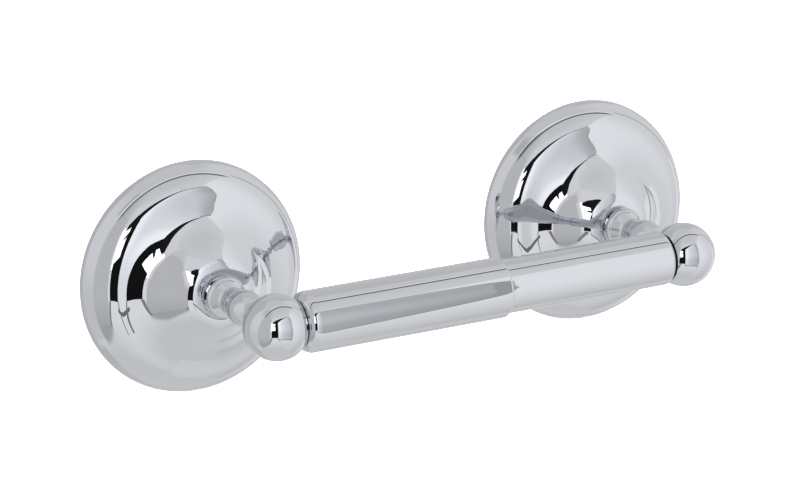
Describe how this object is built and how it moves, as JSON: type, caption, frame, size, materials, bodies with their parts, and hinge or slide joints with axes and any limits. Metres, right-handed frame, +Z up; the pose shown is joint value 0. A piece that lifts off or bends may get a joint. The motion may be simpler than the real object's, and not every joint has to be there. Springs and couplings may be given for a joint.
{
  "type": "toilet paper holder",
  "caption": "Wall holder for a toilet roll: round bell flanges, turned posts that end in balls, and a telescoping spring roller held between the balls.",
  "frame": {"origin": "on the wall plane, midway between the two flange centres, which is the centre of the wall screws' pattern", "axes": "+X to the right along the roller, +Z up, +Y into the wall, so the holder stands out towards -Y"},
  "size_m": [0.241, 0.0803, 0.083],
  "materials": {
    "flange_chrome": "mirror polished",
    "post_chrome": "mirror polished",
    "sleeve_chrome": "mirror polished",
    "bracket_zinc": "zinc plated",
    "screw_zinc": "zinc plated",
    "set_screw_steel": "blackened",
    "spring_steel": "drawn wire",
    "tip_nylon": "natural nylon",
    "bush_acetal": "white acetal"
  },
  "bodies": {
    "wall_frame": {"left_bracket": "bracket_zinc", "left_flange": "flange_chrome", "left_set_screw": "set_screw_steel", "left_post": "post_chrome", "left_post_screw": "screw_zinc", "left_flat_washer": "screw_zinc", "left_lock_washer": "screw_zinc", "right_bracket": "bracket_zinc", "right_flange": "flange_chrome", "right_set_screw": "set_screw_steel", "right_post": "post_chrome", "right_post_screw": "screw_zinc", "right_flat_washer": "screw_zinc", "right_lock_washer": "screw_zinc"},
    "roller_left": {"outer_sleeve": "sleeve_chrome", "left_tip": "tip_nylon", "spring": "spring_steel"},
    "roller_bush": {"guide_bush": "bush_acetal"},
    "roller_right": {"inner_sleeve": "sleeve_chrome", "right_tip": "tip_nylon"}
  },
  "joints": [
    {"name": "roller_spin", "type": "hinge", "parent": "wall_frame", "child": "roller_left", "pos_m": [0, -0.069, 0], "axis": [1, 0, 0], "continuous": true},
    {"name": "roller_squeeze", "type": "slide", "parent": "roller_left", "child": "roller_bush", "axis": [-1, 0, 0], "range_m": [0, 0.025], "stiffness_N_per_m": 224, "springref_m": -0.02, "deforming": ["spring"]},
    {"name": "sleeve_twist", "type": "hinge", "parent": "roller_bush", "child": "roller_right", "pos_m": [0, -0.069, 0], "axis": [1, 0, 0], "continuous": true}
  ]
}
